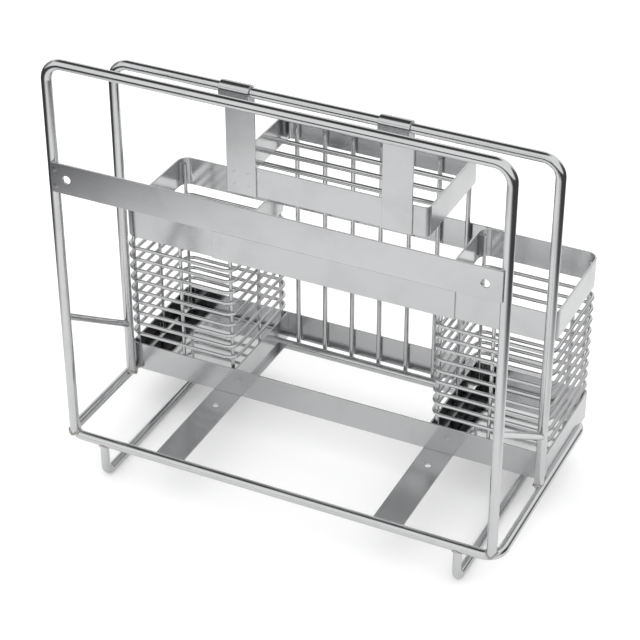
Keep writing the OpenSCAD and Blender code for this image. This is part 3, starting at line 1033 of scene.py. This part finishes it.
def room():
    """Pale surroundings. In reflections they darken in a few directions, each by a
    smooth step of the cosine between the ray and that direction."""
    world = bpy.data.worlds.new("room")
    bpy.context.scene.world = world
    world.use_nodes = True
    tree = world.node_tree
    tree.nodes.clear()
    link = tree.links.new
    out = add(tree, "ShaderNodeOutputWorld")
    shell = add(tree, "ShaderNodeBackground", {"Color": (1, 1, 1, 1)})
    place = add(tree, "ShaderNodeTexCoord")
    bright = add(tree, "ShaderNodeValue")
    bright.outputs[0].default_value = ROOM_BRIGHT
    total = bright.outputs[0]
    for direction, inner, outer, amount in ROOM_SHADES:
        cosine = add(tree, "ShaderNodeVectorMath", {1: Vector(direction).normalized()},
                     operation="DOT_PRODUCT")
        keep = add(tree, "ShaderNodeMapRange",
                   {"From Min": outer, "From Max": inner, "To Min": 1.0, "To Max": 1 - amount},
                   interpolation_type="SMOOTHSTEP")
        joined = add(tree, "ShaderNodeMath", operation="MULTIPLY")
        link(place.outputs["Generated"], cosine.inputs[0])
        link(cosine.outputs["Value"], keep.inputs["Value"])
        link(total, joined.inputs[0])
        link(keep.outputs["Result"], joined.inputs[1])
        total = joined.outputs["Value"]
    rays = add(tree, "ShaderNodeLightPath")
    choose = add(tree, "ShaderNodeMix", {MIX_VALUE_A: ROOM_PLAIN}, data_type="FLOAT")
    link(rays.outputs["Is Glossy Ray"], choose.inputs[MIX_FACTOR])
    link(total, choose.inputs[MIX_VALUE_B])
    link(choose.outputs[MIX_VALUE], shell.inputs["Strength"])
    link(shell.outputs["Background"], out.inputs["Surface"])


def clear_start():
    """Removes what Blender's own start file brings."""
    for name in ("Cube", "Light", "Camera"):
        thing = bpy.data.objects.get(name)
        if thing:
            bpy.data.objects.remove(thing)


# --- Operators ----------------------------------------------------------------------


def settings(context):
    """The scene's sizes and finish."""
    return context.scene.rack_sizes, context.scene.rack_finish


class RACK_OT_stage(bpy.types.Operator):
    """Set the table top, the room's light and the camera"""

    bl_idname = "rack.stage"
    bl_label = "Stage"

    def execute(self, context):
        clear_start()
        context.scene.view_settings.view_transform = "Standard"
        floor()
        room()
        camera()
        return {"FINISHED"}


class RACK_OT_frame_wires(bpy.types.Operator):
    """Bend the base ring, the runners, the hoops and the side braces"""

    bl_idname = "rack.frame_wires"
    bl_label = "Frame Wires"

    def execute(self, context):
        sizes, finish = settings(context)
        base_ring(sizes, finish)
        hoop(sizes, finish, "front_hoop")
        hoop(sizes, finish, "rear_hoop")
        for side in SIDES:
            runner(sizes, finish, side)
            side_brace(finish, side)
        back_wires(sizes, finish)
        return {"FINISHED"}


class RACK_OT_frame_bars(bpy.types.Operator):
    """Cut and bend the frame's flat bars"""

    bl_idname = "rack.frame_bars"
    bl_label = "Frame Bars"

    def execute(self, context):
        sizes, finish = settings(context)
        front_strip(sizes, finish)
        bar_loop(sizes, finish, "lower_band", sizes.band_bend, BODY_FRAME)
        for node in ("centre_tie_strip", "rear_tie_strip"):
            plain_bar(sizes, finish, node, 0)
        for side in SIDES:
            floor_strap(sizes, finish, side)
            plain_bar(sizes, finish, side + "_inner_band", 1)
            bar_loop(sizes, finish, side + "_basket_rim", sizes.rim_bend, BODY_FRAME)
        return {"FINISHED"}


class RACK_OT_baskets(bpy.types.Operator):
    """Weld the wire cages of the two baskets"""

    bl_idname = "rack.baskets"
    bl_label = "Baskets"

    def execute(self, context):
        sizes, finish = settings(context)
        for side in SIDES:
            basket_cage(sizes, finish, side)
        return {"FINISHED"}


class RACK_OT_drip_plates(bpy.types.Operator):
    """Fold the loose floor sheets of the baskets"""

    bl_idname = "rack.drip_plates"
    bl_label = "Drip Plates"

    def execute(self, context):
        sizes, finish = settings(context)
        for side in SIDES:
            drip_plate(sizes, finish, side)
        return {"FINISHED"}


class RACK_OT_knife_tray(bpy.types.Operator):
    """Build the hanging knife tray and its hooks"""

    bl_idname = "rack.knife_tray"
    bl_label = "Knife Tray"

    def execute(self, context):
        sizes, finish = settings(context)
        bar_loop(sizes, finish, "tray_band", sizes.tray_bend, BODY_TRAY)
        tray_slot_wires(finish)
        for side in SIDES:
            hook_strap(sizes, finish, side)
        return {"FINISHED"}


class RACK_OT_welds(bpy.types.Operator):
    """Add the weld beads and the spot-weld marks"""

    bl_idname = "rack.welds"
    bl_label = "Welds"

    def execute(self, context):
        sizes, finish = settings(context)
        wire_welds(sizes, finish)
        spot_welds(sizes, finish)
        return {"FINISHED"}


STEPS = (RACK_OT_stage, RACK_OT_frame_wires, RACK_OT_frame_bars, RACK_OT_baskets,
         RACK_OT_drip_plates, RACK_OT_knife_tray, RACK_OT_welds)


class RACK_PT_panel(bpy.types.Panel):
    """The rack's sizes, finish and building steps"""

    bl_idname = "RACK_PT_panel"
    bl_label = "Kitchen Wire Rack"
    bl_space_type = "VIEW_3D"
    bl_region_type = "UI"
    bl_category = "Rack"

    def draw(self, context):
        layout = self.layout
        for group in settings(context):
            box = layout.box()
            for name in group.bl_rna.properties.keys():
                if name not in ("rna_type", "name"):
                    box.prop(group, name)
        for step in STEPS:
            layout.operator(step.bl_idname)


CLASSES = (RackSizes, RackFinish, *STEPS, RACK_PT_panel)


def register():
    for cls in CLASSES:
        bpy.utils.register_class(cls)
    bpy.types.Scene.rack_sizes = PointerProperty(type=RackSizes)
    bpy.types.Scene.rack_finish = PointerProperty(type=RackFinish)


def unregister():
    del bpy.types.Scene.rack_finish
    del bpy.types.Scene.rack_sizes
    for cls in reversed(CLASSES):
        bpy.utils.unregister_class(cls)


def main():
    register()
    for step in STEPS:
        group, name = step.bl_idname.split(".")
        getattr(getattr(bpy.ops, group), name)()


if __name__ == "__main__":
    main()
